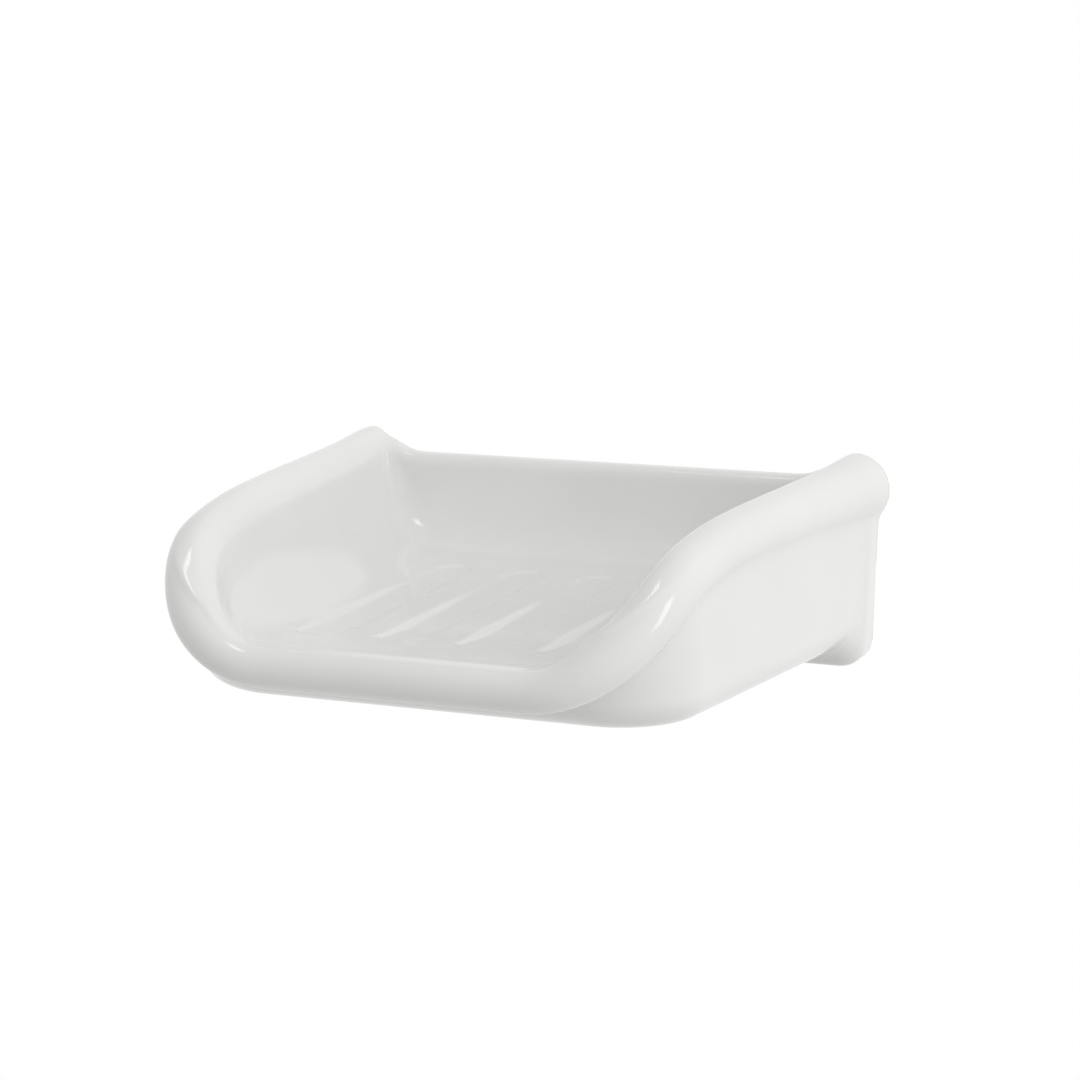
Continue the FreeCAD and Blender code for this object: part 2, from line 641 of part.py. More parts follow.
def makeBracket():
    """The hanger: sheet bent to a hook along its top edge, with two slots for the screws."""
    body = newBody("wall_bracket")
    profile = outline(body, "HookProfile", "YZ_Plane", [
        ("0 mm", "Sizes.plateFoot"),
        ("0 mm", "Sizes.hookTop"),
        ("Sizes.tongueBack", "Sizes.hookTop"),
        ("Sizes.tongueBack", "Sizes.tongueTop"),
        ("Sizes.tongueFront", "Sizes.tongueTop"),
        ("Sizes.tongueFront", "Sizes.hookUnder"),
        ("Sizes.plateFront", "Sizes.hookUnder"),
        ("Sizes.plateFront", "Sizes.plateFoot"),
    ])
    sheetMetal = body.newObject("PartDesign::Pad", "HookSheet")
    sheetMetal.Profile = profile
    sheetMetal.Midplane = True
    bind(sheetMetal, Length="Sizes.plateWidth")
    long = size("plateWidth") / 2

    def edgeAt(y, z):
        def test(box):
            level = abs(box.YMin - size(y)) < tiny if y else abs(box.YMin) < tiny
            return level and box.YLength < tiny and abs(box.ZMin - size(z)) < tiny and box.XLength > long
        return test

    def outer(box):
        return edgeAt("", "hookTop")(box) or edgeAt("tongueFront", "hookUnder")(box)

    def inner(box):
        return edgeAt("plateFront", "hookUnder")(box) or edgeAt("tongueBack", "hookTop")(box)

    def corner(box):
        low = abs(box.ZMin - size("plateFoot")) < tiny
        return low and box.ZLength < tiny and box.XLength < tiny

    def tip(box):
        high = abs(box.ZMin - size("tongueTop")) < tiny
        return high and box.ZLength < tiny and box.XLength < tiny

    bends = rounded(body, sheetMetal, "OuterBends", "Sizes.bendOutside", outer)
    bends = rounded(body, bends, "InnerBends", "Sizes.plateBendRadius", inner)
    bends = rounded(body, bends, "LowerCorners", "Sizes.plateCornerRadius", corner)
    bends = rounded(body, bends, "TongueCorners", "Sizes.plateCornerRadius / 2", tip)
    slots = newSketch(body, "ScrewSlots", "XZ_Plane")
    radius, run = size("slotWidth") / 2, (size("slotLength") - size("slotWidth")) / 2
    for side, way in sides:
        middle = way * size("halfSpacing")
        upright = Vector(0, 0, 1)
        ends = [Part.Circle(Vector(middle + sign * run, 0, 0), upright, radius) for sign in (-1, 1)]
        left = sketchArc(slots, ends[0], math.pi / 2)
        right = sketchArc(slots, ends[1], -math.pi / 2)
        top = sketchLine(slots, (middle - run, radius), (middle + run, radius))
        bottom = sketchLine(slots, (middle - run, -radius), (middle + run, -radius))
        for line, end, arc, arcEnd in (
            (top, 1, left, 1), (top, 2, right, 2), (bottom, 1, left, 2), (bottom, 2, right, 1),
        ):
            slots.addConstraint(Sketcher.Constraint("Tangent", line, end, arc, arcEnd))
        slots.addConstraint(Sketcher.Constraint("Equal", left, right))
        index = slots.addConstraint(Sketcher.Constraint("Radius", left, radius))
        slots.setExpression(f"Constraints[{index}]", "Sizes.slotWidth / 2")
        for arc, sign in ((left, -1), (right, 1)):
            slots.addConstraint(Sketcher.Constraint("PointOnObject", arc, 3, -1))
            half = f"{sign} * (Sizes.slotLength - Sizes.slotWidth) / 2"
            place = f"{way} * Sizes.halfSpacing + {half}"
            hold(slots, "DistanceX", arc, 3, place, middle + sign * run)
    pocket = cutBy(body, slots, "ScrewSlotCut", "Sizes.plateThickness * 4")
    pocket.Midplane = True
    return body


def sketchArc(sketch, circle, start):
    return sketch.addGeometry(Part.ArcOfCircle(circle, start, start + math.pi), False)


def sketchLine(sketch, start, end):
    return sketch.addGeometry(Part.LineSegment(Vector(*start, 0), Vector(*end, 0)), False)


def makeScrew(side, way):
    """A pan head screw with a cross recess and a tapered point, along +Y from the washer."""
    body = newBody(f"screw_{side}", f"{way} * Sizes.halfSpacing")
    shank = spun(body, "ScrewTurned", "XY_Plane", [
        ("0 mm", "Sizes.headFront"),
        ("Sizes.headRadius", "Sizes.headFront"),
        ("Sizes.headRadius", "Sizes.washerFront"),
        ("Sizes.screwRadius", "Sizes.washerFront"),
        ("Sizes.screwRadius", "Sizes.screwTaper"),
        ("0 mm", "Sizes.screwTip"),
    ])

    def headEdge(box):
        wide = box.XLength > 2 * size("headRadius") - tiny
        return wide and abs(box.YMin - size("headFront")) < tiny and box.YLength < tiny

    rounded(body, shank, "HeadRound", "Sizes.headRound", headEdge)
    reach, half = "Sizes.recessReach", "Sizes.recessWidth / 2"
    cross = outline(body, "CrossRecess", "XZ_Plane", [
        (half, half), (half, reach), ("-" + half, reach), ("-" + half, half),
        ("-" + reach, half), ("-" + reach, "-" + half), ("-" + half, "-" + half), ("-" + half, "-" + reach),
        (half, "-" + reach), (half, "-" + half), (reach, "-" + half), (reach, half),
    ])
    cross.setExpression("AttachmentOffset.Base.z", "Sizes.headFace")
    cutBy(body, cross, "CrossRecessCut", "Sizes.recessDepth")
    return body


def makeWasher(side, way):
    body = newBody(f"washer_{side}", f"{way} * Sizes.halfSpacing")
    spun(body, "WasherTurned", "XY_Plane", [
        ("Sizes.washerBore", "Sizes.washerFront"),
        ("Sizes.washerRadius", "Sizes.washerFront"),
        ("Sizes.washerRadius", "Sizes.plateFront"),
        ("Sizes.washerBore", "Sizes.plateFront"),
    ])
    return body


def makePlug(side, way):
    """A nylon wall plug, flush with the wall, with grip rings and a slit that lets it spread."""
    body = newBody(f"plug_{side}", f"{way} * Sizes.halfSpacing")
    count = int(size("plugRingCount"))
    outside = [("Sizes.plugRadius", "0 mm")]
    waist = "Sizes.plugRadius - Sizes.plugRingDepth"
    pitch = f"(Sizes.plugLength - Sizes.plugMouth - Sizes.plugNose) / {count}"
    for k in range(count):
        start = f"Sizes.plugMouth + {k} * {pitch}"
        outside += [
            ("Sizes.plugRadius", start),
            (waist, start),
            ("Sizes.plugRadius", f"{start} + Sizes.plugRingWidth"),
        ]
    outside += [
        ("Sizes.plugRadius", "Sizes.plugLength - Sizes.plugNose"),
        (waist, "Sizes.plugLength"),
    ]
    spun(body, "PlugTurned", "XY_Plane", [
        ("Sizes.plugBore", "0 mm"), *outside, ("Sizes.plugBore", "Sizes.plugLength"),
    ])
    slit = outline(body, "Slit", "XY_Plane", [
        ("-Sizes.plugSlit / 2", "Sizes.plugMouth"),
        ("Sizes.plugSlit / 2", "Sizes.plugMouth"),
        ("Sizes.plugSlit / 2", "Sizes.plugLength * 2"),
        ("-Sizes.plugSlit / 2", "Sizes.plugLength * 2"),
    ])
    pocket = cutBy(body, slit, "SlitCut", "Sizes.plugRadius * 4")
    pocket.Midplane = True
    return body


def makePad(name, way, height):
    """A clear silicone pad set in its socket, standing out to the wall."""
    body = newBody(f"pad_{name}", f"{way} * Sizes.padSide")
    body.setExpression("Placement.Base.z", height)
    disc = spun(body, "PadTurned", "XY_Plane", [
        ("0 mm", "-Sizes.padThickness"),
        ("Sizes.padRadius", "-Sizes.padThickness"),
        ("Sizes.padRadius", "0 mm"),
        ("0 mm", "0 mm"),
    ])

    def rim(box):
        return box.XLength > 2 * size("padRadius") - tiny and box.YLength < tiny

    rounded(body, disc, "PadEdge", "Sizes.padEdge", rim)
    return body


pieces = [makeDish(), makeBracket()]
for side, way in sides:
    pieces += [makeScrew(side, way), makeWasher(side, way), makePlug(side, way)]
pieces += [makePad(*place) for place in padPlaces]
document.recompute()

faulty = [thing.Name for thing in document.Objects if {"Invalid", "Error"} & set(thing.State)]
if faulty:
    raise RuntimeError(f"these did not build: {faulty}")

os.makedirs("parts", exist_ok=True)
for piece in pieces:
    shape = piece.Shape
    if shape.isNull() or not shape.isValid() or len(shape.Solids) != 1:
        raise RuntimeError(f"{piece.Label} is not one sound solid")
    box = shape.BoundBox
    print(piece.Label, round(shape.Volume, 1), [round(v, 2) for v in (
        box.XMin, box.XMax, box.YMin, box.YMax, box.ZMin, box.ZMax)])
    shape.exportStep(f"parts/{piece.Label}.step")
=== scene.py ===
# Wall-hung china soap dish on its concealed hanger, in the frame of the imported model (metres).
import bpy
import math
import numpy as np
import openvdb
from mathutils import Matrix, Vector


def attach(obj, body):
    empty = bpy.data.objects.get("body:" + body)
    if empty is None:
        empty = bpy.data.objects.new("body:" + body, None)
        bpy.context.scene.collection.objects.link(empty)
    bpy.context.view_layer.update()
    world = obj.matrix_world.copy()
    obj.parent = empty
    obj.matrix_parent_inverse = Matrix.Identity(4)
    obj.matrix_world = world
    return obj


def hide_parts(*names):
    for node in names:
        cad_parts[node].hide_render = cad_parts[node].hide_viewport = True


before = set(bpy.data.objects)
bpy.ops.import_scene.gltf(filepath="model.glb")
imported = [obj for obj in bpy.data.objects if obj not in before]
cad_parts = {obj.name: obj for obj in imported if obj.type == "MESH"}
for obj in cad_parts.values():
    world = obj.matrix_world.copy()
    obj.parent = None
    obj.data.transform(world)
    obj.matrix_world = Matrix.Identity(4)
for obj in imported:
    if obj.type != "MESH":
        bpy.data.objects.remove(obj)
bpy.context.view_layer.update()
mm = 0.001
print("frame loaded")

# The china is first a distance field, and then a mesh of the surface where that field is zero.
# Lengths are millimetres and heights are above the dish's underside.
rim = {
    "halfWidth": 61.5,        # bead's centre line at the wall
    "flare": 4.34,            # degrees, each side
    "reach": 119.8,           # wall to the front run of that line
    "cornerRadius": 21.6,
    # along the line: 0 wall, 1 end of the side, 2 end of the corner, 3 middle of the front
    "heights": [
        (0, 35.9), (0.25, 35.55), (0.5, 35.4), (0.75, 34.8), (1, 31.3), (1.5, 18.6), (2, 10.4), (3, 10.4),
    ],
    "radii": [(0, 8.46), (0.15, 7.57), (0.5, 6.56), (1, 5.85), (1.5, 5.8), (2, 4.2), (3, 4.2)],
    # the radius towards the room, as a share of that
    "inner": [(0, 0.55), (0.3, 0.7), (0.6, 0.85), (1, 0.95), (1.5, 1), (3, 1)],
}
# how finely and softly that line is followed, and how its nearest point is found
line = {"step": 0.1, "soft": 4.0, "shift": 12.0, "ease": 0.1, "rounds": 2}
body = {
    "underside": -1.5,        # in the frame
    "halfWidth": 65.9,        # outer faces at the wall, at the underside
    "flare": 5.6,
    "sideLean": 3.0,          # degrees outward
    "reach": 107.7,
    "frontLean": 27.0,
    "lowCorner": 18.5,        # plan radius at the underside
    "highCorner": 26.0,       # and at the bead's height
    "lowerEdge": 6.6,
    "wallGap": 0.6,
}
slab = {
    "share": 0.82,            # its underside below the roll's centre, as a share of the roll's radius
    "even": 0.8,              # scale of the field, as the roll's line slopes
    "sunk": 0.3,              # its edge inside the roll's line
    "depth": 20.0,
}
apron = {
    "halfWidth": 66.5,
    "sideLean": 1.5,
    "drop": 4.9,              # how far it hangs below the underside
    "thickness": 9.5,
    "corner": 6.0,
    "edge": 3.5,
    "blend": 6.0,
}
room = {
    "floor": 12.1,            # under the front roll
    "fall": 2.1,              # degrees
    "draft": 8.5,             # lean of the inner walls
    "back": 5.0,              # inner face of the back wall at its top edge
    "rampStart": 84.0,
    "rampRise": 2.5,
}
backEdge = {
    "height": 38.7,
    "round": 2.2,
    "even": 0.95,             # scale of the field, as the edge slopes to the shoulder
    # height from the middle out to the shoulder
    "profile": [
        (0, 38.7), (46, 38.7), (49, 38.8), (51, 39.15), (53, 39.95),
        (56, 41.4), (58, 42.2), (60, 42.7), (61.5, 42.8), (70, 42.8),
    ],
}
blend = {
    # widths of the fillets
    "crease": 4.5,            # bead to wall, outside
    "under": 2.5,             # slab to body
    "corner": 8.0,            # side wall to back wall
    "shoulder": 4.0,          # the same at the shoulders
    "shoulderFrom": 9.0,      # below the back edge
    "shoulderOver": 8.0,
    "lip": 1.0,               # floor to the front roll
    "turn": 6.0,              # floor to the walls at the front
    "bowl": 18.0,             # and at the back
    "backOver": 42.0,
    "tallOver": 9.0,          # wall height that brings the full turn
    "least": 0.02,            # share of a width that stays where the faces agree
}
bowl = {
    "strides": (2, 4, 4),     # smoothing steps, in cells
    "start": 0.5,             # inside the bead's line
    "earlier": 3.5,           # by as much at the front roll
    "over": 4.0,
    "wallClear": 7.0,         # the back wall keeps its edge
    "below": 4.0,             # how far under the floor's face, and over what height it fades
    "fade": 2.0,
}
groove = {"count": 4, "pitch": 18.5, "width": 9.4, "front": 101.0, "rear": 25.0, "depth": 0.5, "soft": 2.2}
pocket = {"width": 84.0, "depth": 6.3, "seat": 8.0, "slotTop": 13.0, "lip": 3.6}
socket = {"radius": 4.65, "depth": 1.6, "across": 54.0, "upper": 27.5, "lower": 1.3}
grid = {
    "spacing": 0.5,           # size of a cell
    "margin": 2.0,
    "halfWidth": 70.0,
    "reach": 124.5,
    "top": 45.0,
    "past": 3,                # cells past the middle, so that smoothing reaches across it
    "steepness": (0.5, 2),    # limits when a field is evened
    "strides": (1, 1),        # smoothing that all of the china gets
    "beyond": 3.0,            # the value outside the cells
    "settle": 3,              # steps that bring the mesh onto the surface, and the longest of them in cells
    "longest": 0.5,
    "flattest": 0.02,         # least squared steepness in such a step
}


def smoothTable(table, at):
    # A curve through the table's points that never overshoots them.
    xs = np.array([p[0] for p in table], float)
    ys = np.array([p[1] for p in table], float)
    slope = np.diff(ys) / np.diff(xs)
    tangent = np.zeros(len(xs))
    same = slope[:-1] * slope[1:] > 0
    tangent[1:-1][same] = 2 / (1 / slope[:-1][same] + 1 / slope[1:][same])
    at = np.clip(at, xs[0], xs[-1])
    k = np.clip(np.searchsorted(xs, at, side="right") - 1, 0, len(xs) - 2)
    span = xs[k + 1] - xs[k]
    u = (at - xs[k]) / span
    return (ys[k] * (1 + 2 * u) * (1 - u) ** 2 + ys[k + 1] * u * u * (3 - 2 * u)
            + span * tangent[k] * u * (1 - u) ** 2 + span * tangent[k + 1] * u * u * (u - 1))


def tangentOf(degrees):
    return math.tan(math.radians(degrees))


def eased(share):
    share = np.clip(share, 0, 1)
    return share * share * (3 - 2 * share)


def slopes(values):
    return np.gradient(values, grid["spacing"])


def evened(values):
    # The field over its own steepness, so that it measures about a distance.
    steep = np.sqrt(sum(part * part for part in slopes(values)))
    return values / np.clip(steep, *grid["steepness"])


def softUnion(a, b, width):
    # Joins two solids with a soft fillet.
    near = np.maximum(width - np.abs(a - b), 0) / width
    return np.minimum(a, b) - near * near * width * 0.25


def blendUnion(a, b, width):
    # The same, narrowing with the angle, so that faces that lie together stay put.
    first, second = slopes(a), slopes(b)
    agree = sum(p * q for p, q in zip(first, second))
    agree = agree / np.sqrt(sum(p * p for p in first) * sum(q * q for q in second) + 1e-6)
    return softUnion(a, b, width * np.clip(1 - agree, blend["least"], 1))


def roundedMeet(planes, radius):
    # The space inside all the planes, with their meeting edges rounded.
    outside = sum(np.maximum(p + radius, 0) ** 2 for p in planes)
    inside = planes[0]
    for p in planes[1:]:
        inside = np.maximum(inside, p)
    return np.minimum(inside + radius, 0) + np.sqrt(outside) - radius


def softened(values, strides):
    # A smoothing over neighbouring cells, as the glaze gives every edge.
    for stride in strides:
        for axis in range(3):
            inner = [slice(None)] * 3
            low, high = list(inner), list(inner)
            inner[axis] = slice(stride, -stride)
            low[axis], high[axis] = slice(None, -2 * stride), slice(2 * stride, None)
            copy = values.copy()
            copy[tuple(inner)] = (values[tuple(low)] + 2 * values[tuple(inner)] + values[tuple(high)]) / 4
            values = copy
    return values


flare = math.radians(rim["flare"])
sideLength = (rim["reach"] - rim["cornerRadius"] * (1 - math.sin(flare))) / math.cos(flare)
cornerLength = rim["cornerRadius"] * (math.pi / 2 - flare)
wallEnd = np.array([rim["halfWidth"], 0])
sideEnd = wallEnd - np.array([math.sin(flare), math.cos(flare)]) * sideLength
cornerCentre = sideEnd + np.array([-math.cos(flare), math.sin(flare)]) * rim["cornerRadius"]


def lengthAt(station):
    # Distance along the bead's line at a station.
    return np.interp(station, [0, 1, 2, 3], np.cumsum([0, sideLength, cornerLength, cornerCentre[0]]))


def alongLine(table):
    # The table as closely spaced values along the whole line, smoothed so that its curvature has no jumps.
    places = [(lengthAt(station), value) for station, value in table]
    values = smoothTable(places, np.abs(line["lengths"]))
    reach = int(3 * line["soft"] / line["step"])
    bell = np.exp(-0.5 * (np.arange(-reach, reach + 1) * line["step"] / line["soft"]) ** 2)
    return np.convolve(np.pad(values, reach, mode="edge"), bell / bell.sum(), mode="valid")


line["lengths"] = np.arange(-line["shift"], lengthAt(3) + line["shift"], line["step"])
for name in ("heights", "radii", "inner"):
    line[name] = alongLine(rim[name])
line["slopes"] = np.gradient(line["heights"], line["step"])


def onLine(name, length):
    return np.interp(length, line["lengths"], line[name]).astype(np.float32)


def nearestRim(x, y):
    # For a point in plan: length along the bead's line, distance outward from it, and whether it
    # rounds the corner.
    alongSide = (rim["halfWidth"] - x) * math.sin(flare) - y * math.cos(flare)
    sideOff = (x - rim["halfWidth"]) * math.cos(flare) - y * math.sin(flare)
    frontOff = -y - rim["reach"]
    turn = np.arctan2(cornerCentre[1] - y, x - cornerCentre[0])
    inCorner = (turn > flare) & (turn < math.pi / 2)
    cornerOff = np.hypot(x - cornerCentre[0], y - cornerCentre[1]) - rim["cornerRadius"]
    bySide = (turn <= flare) & (x > cornerCentre[0]) | (sideOff > frontOff)
    alongFront = sideLength + cornerLength + cornerCentre[0] - x
    length = np.where(bySide, alongSide, alongFront)
    length = np.where(inCorner, sideLength + (turn - flare) * rim["cornerRadius"], length)
    offset = np.where(inCorner, cornerOff, np.where(bySide, sideOff, frontOff))
    return length, offset, inCorner


def beadField(length, offset, inCorner, z):
    # Distance from the round bead. Its line rises and falls, so the nearest point lies further
    # along than in plan.
    around = 1 + np.where(inCorner, offset / rim["cornerRadius"], 0).astype(np.float32)[:, :, None]
    level = z[None, None, :]
    slope = onLine("slopes", length)[:, :, None]
    shift = slope * (level - onLine("heights", length)[:, :, None]) / (around + slope ** 2 + line["ease"])
    for settle in range(line["rounds"]):
        shift = np.clip(shift, -line["shift"], line["shift"])
        at = length[:, :, None] + shift
        slope = onLine("slopes", at)
        miss = shift * around - slope * (level - onLine("heights", at))
        shift = shift - miss / (around + slope ** 2 + line["ease"])
    shift = np.clip(shift, -line["shift"], line["shift"])
    at = length[:, :, None] + shift
    far = np.sqrt(offset[:, :, None] ** 2 + shift ** 2 * around + (level - onLine("heights", at)) ** 2)
    return (far - onLine("radii", at)).astype(np.float32)


def outsideField(across, depth, height, rimPlan, crest, radius):
    # Faces that lean out as they rise, the slab that carries the front roll, and the plate behind.
    full = 0 * (across + depth + height)
    tapered = math.radians(body["flare"])
    side = across - body["halfWidth"] - tangentOf(body["sideLean"]) * height - depth * math.tan(tapered)
    front = -depth - body["reach"] - tangentOf(body["frontLean"]) * height
    rising = (body["highCorner"] - body["lowCorner"]) / rim["heights"][0][1]
    plan = evened(roundedMeet([side * math.cos(tapered), front], body["lowCorner"] + rising * height))
    outside = roundedMeet([plan, -height + full], body["lowerEdge"])

    slabPlan = np.maximum(rimPlan + slab["sunk"], -rimPlan - slab["depth"])[:, :, None]
    slabField = np.maximum(slabPlan, (crest - slab["share"] * radius - height) * slab["even"])
    outside = blendUnion(outside, slabField, blend["under"])

    sides = across - apron["halfWidth"] - tangentOf(apron["sideLean"]) * height   # hangs below the underside
    outline = roundedMeet([sides, -height - apron["drop"] + 0 * across], apron["corner"])
    plate = roundedMeet([outline + full, -depth - apron["thickness"] + full], apron["edge"])
    return blendUnion(outside, plate, apron["blend"])


def wallsField(across, depth, height, rimPlan, crest, radius, share, bead):
    # The bead's round top carried down with a draft, and the back wall with its rounded top edge.
    full = 0 * (across + depth + height)
    lean = math.radians(room["draft"])
    inner = radius * share[:, :, None]
    face = np.maximum(-rimPlan, 0)[:, :, None] - inner - math.tan(lean) * (crest - height)
    walls = np.where(height < crest, face * math.cos(lean), bead)
    backFace = -(depth + room["back"] + math.tan(lean) * (backEdge["height"] - height)) * math.cos(lean)
    edge = smoothTable(backEdge["profile"], np.abs(across.ravel())).astype(np.float32)[:, None, None]
    backWall = roundedMeet([backFace + full, (height - edge) * backEdge["even"] + full], backEdge["round"])
    backWall = np.maximum(backWall, across - rim["halfWidth"])
    high = np.clip((height - backEdge["height"] + blend["shoulderFrom"]) / blend["shoulderOver"], 0, 1)
    return blendUnion(walls, backWall, blend["corner"] + (blend["shoulder"] - blend["corner"]) * high)


def floorField(planY, height):
    # The floor, rising to the front roll.
    ramp = eased((-planY - room["rampStart"]) / (rim["reach"] - room["rampStart"]))
    face = room["floor"] + tangentOf(room["fall"]) * (planY + rim["reach"]) + room["rampRise"] * ramp
    return height - face[:, :, None]


def grooved(solid, planX, planY, aboveDeep):
    # The drain grooves, pressed lightly into the floor.
    half = groove["width"] / 2
    along = np.clip(-planY, groove["rear"] + half, groove["front"] - half)
    for k in range(groove["count"] // 2):
        pill = half - np.sqrt((planX - (k + 0.5) * groove["pitch"]) ** 2 + (-planY - along) ** 2)
        solid = solid + (groove["depth"] * eased(pill / groove["soft"] + 0.5))[:, :, None] * aboveDeep
    return solid


def cutBehind(solid, across, depth, height):
    # The hanger's pocket and its slot, the pad sockets and the flat back.
    side, deep = across - pocket["width"] / 2, -depth - pocket["depth"]
    lowerPocket = np.maximum(np.maximum(side, deep), height - pocket["seat"])
    slot = np.maximum(side, np.maximum(depth + pocket["lip"], deep))
    solid = np.maximum(solid, -np.minimum(lowerPocket, np.maximum(slot, height - pocket["slotTop"])))
    for level in (socket["upper"], socket["lower"]):
        hole = np.sqrt((across - socket["across"]) ** 2 + (height - level) ** 2) - socket["radius"]
        solid = np.maximum(solid, -np.maximum(hole, -depth - socket["depth"]))
    return np.maximum(solid, depth + body["wallGap"])


def chinaField():
    # The right half of the china, from its middle outward.
    h, margin, past = grid["spacing"], grid["margin"], grid["past"]
    x = (np.arange(-past, int((grid["halfWidth"] + margin) / h)) * h).astype(np.float32)
    y = np.arange(-grid["reach"] - margin, margin, h, dtype=np.float32)
    z = np.arange(-apron["drop"] - margin, grid["top"] + margin, h, dtype=np.float32)
    across, depth, height = x[:, None, None], y[None, :, None], z[None, None, :]
    planX, planY = np.abs(x)[:, None] + 0 * y, y[None, :] + 0 * x[:, None]
    length, rimPlan, inCorner = nearestRim(planX, planY)
    share = onLine("inner", length)
    crest, radius = (onLine(name, length)[:, :, None] for name in ("heights", "radii"))
    bead = evened(beadField(length, np.where(rimPlan < 0, rimPlan / share, rimPlan), inCorner, z))

    outside = outsideField(across, depth, height, rimPlan, crest, radius)
    inside = wallsField(across, depth, height, rimPlan, crest, radius, share, bead)
    floor = floorField(planY, height)
    tall = eased((crest + radius - room["floor"] - room["rampRise"]) / blend["tallOver"])
    back = eased((depth + rim["reach"]) / blend["backOver"])
    wide = blend["turn"] + (blend["bowl"] - blend["turn"]) * back   # a bowl-like turn where the wall is tall
    inside = softUnion(inside, floor, blend["lip"] + (wide - blend["lip"]) * tall)
    solid = blendUnion(np.maximum(inside, outside), bead, blend["crease"])
    solid = softened(solid, grid["strides"])

    # inside the bowl everything runs together without a crease
    aboveDeep = eased((floor + bowl["below"]) / bowl["fade"])
    inward = -rimPlan[:, :, None] - bowl["start"] + bowl["earlier"] * (1 - tall)
    offWall = eased((-depth - bowl["wallClear"]) / bowl["wallClear"])
    within = eased(inward / bowl["over"]) * offWall * aboveDeep
    solid = solid + (softened(solid, bowl["strides"]) - solid) * within
    solid = cutBehind(grooved(solid, planX, planY, aboveDeep), across, depth, height)
    return x[past:], y, z, solid[past:].astype(np.float32)


def sampled(values, at):
    # The field between its cells.
    base = np.clip(np.floor(at).astype(int), 0, np.array(values.shape) - 2)
    part = at - base
    total = 0
    for corner in np.ndindex(2, 2, 2):
        share = np.prod(np.where(corner, part, 1 - part), axis=1)
        i, j, k = (base + np.array(corner)).T
        total = total + share * values[i, j, k]
    return total


def buildChina():
    # Mirrors the half, meshes it, and settles the points and their normals on the surface.
    x, y, z, half = chinaField()
    whole = np.ascontiguousarray(np.concatenate([half[:0:-1], half], axis=0))
    cells = openvdb.FloatGrid(grid["beyond"])
    cells.copyFromArray(whole)
    points, quads = cells.convertToQuads(isovalue=0.0)
    points = points.astype(float)
    ways = np.gradient(whole)
    for settle in range(grid["settle"]):
        normals = np.stack([sampled(way, points) for way in ways], axis=1)
        steep = np.maximum((normals ** 2).sum(axis=1), grid["flattest"])
        move = -(sampled(whole, points) / steep)[:, None] * normals
        points = points + np.clip(move, -grid["longest"], grid["longest"])
    normals = np.stack([sampled(way, points) for way in ways], axis=1)
    normals = normals / np.linalg.norm(normals, axis=1)[:, None]
    low = np.array([-x[-1], y[0], z[0] + body["underside"]], float)
    places = (points * grid["spacing"] + low) * mm
    mesh = bpy.data.meshes.new("china")
    mesh.from_pydata(places.tolist(), [], quads.tolist())
    mesh.update()
    mesh.shade_smooth()
    mesh.normals_split_custom_set_from_vertices(normals.tolist())
    return mesh


china = bpy.data.objects.new("china", buildChina())
bpy.context.scene.collection.objects.link(china)
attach(china, "soap_dish")
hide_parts("dish")
print("china", len(china.data.polygons), "faces")


# finishes
def feed(tree, target, value):
    # Sets an input to a number or a colour, or links it to another node's output.
    if isinstance(value, bpy.types.NodeSocket):
        tree.links.new(value, target)
    else:
        target.default_value = value


def added(tree, kind, inputs):
    node = tree.nodes.new("ShaderNode" + kind)
    for name, value in inputs.items():
        feed(tree, node.inputs[name], value)
    return node


def calculated(tree, operation, *values):
    node = tree.nodes.new("ShaderNodeMath")
    node.operation = operation
    for target, value in zip(node.inputs, values):
        feed(tree, target, value)
    return node.outputs[0]


def newGroup(name, inputs, outputs):
    tree = bpy.data.node_groups.new(name, "ShaderNodeTree")
    for way, names in (("INPUT", inputs), ("OUTPUT", outputs)):
        for label, kind in names.items():
            tree.interface.new_socket(name=label, in_out=way, socket_type="NodeSocket" + kind)
    place = tree.nodes.new("ShaderNodeTexCoord").outputs["Object"]
    return tree, tree.nodes.new("NodeGroupInput").outputs, tree.nodes.new("NodeGroupOutput").inputs, place


def cloudGroup(broadDetail=1.5, fineDetail=3.0, fineShare=0.12):
    # Soft cloudiness with a finer grain over it, as in glaze and moulded parts.
    tree, given, put, place = newGroup(
        "kilnCloud", {"Wave": "Float", "Grain": "Float"}, {"Tone": "Float", "Height": "Float"})
    broad = added(tree, "TexNoise", {"Vector": place, "Scale": given["Wave"], "Detail": broadDetail})
    fine = added(tree, "TexNoise", {"Vector": place, "Scale": given["Grain"], "Detail": fineDetail})
    broad, fine = broad.outputs["Fac"], fine.outputs["Fac"]
    feed(tree, put["Tone"], broad)
    feed(tree, put["Height"], calculated(tree, "MULTIPLY_ADD", fine, fineShare, broad))
    return tree


def grainGroup(lineDetail=4.0, wornShare=0.5):
    # Fine scratches drawn out along one way, as brushing and turning leave them.
    tree, given, put, place = newGroup(
        "metalGrain", {"Lines": "Vector", "Wear": "Float"}, {"Tone": "Float", "Height": "Float"})
    stretch = added(tree, "VectorMath", {0: place, 1: given["Lines"]})
    stretch.operation = "MULTIPLY"
    lines = added(tree, "TexNoise", {"Vector": stretch.outputs[0], "Scale": 1.0, "Detail": lineDetail})
    worn = added(tree, "TexNoise", {"Vector": place, "Scale": given["Wear"]})
    lines, worn = lines.outputs["Fac"], worn.outputs["Fac"]
    feed(tree, put["Tone"], calculated(tree, "MULTIPLY_ADD", worn, wornShare, lines))
    feed(tree, put["Height"], lines)
    return tree


kilnCloud, metalGrain = cloudGroup(), grainGroup()


def newMaterial(name):
    material = bpy.data.materials.new(name)
    material.use_nodes = True
    shader = next(n for n in material.node_tree.nodes if n.type == "BSDF_PRINCIPLED")
    return material, material.node_tree, shader


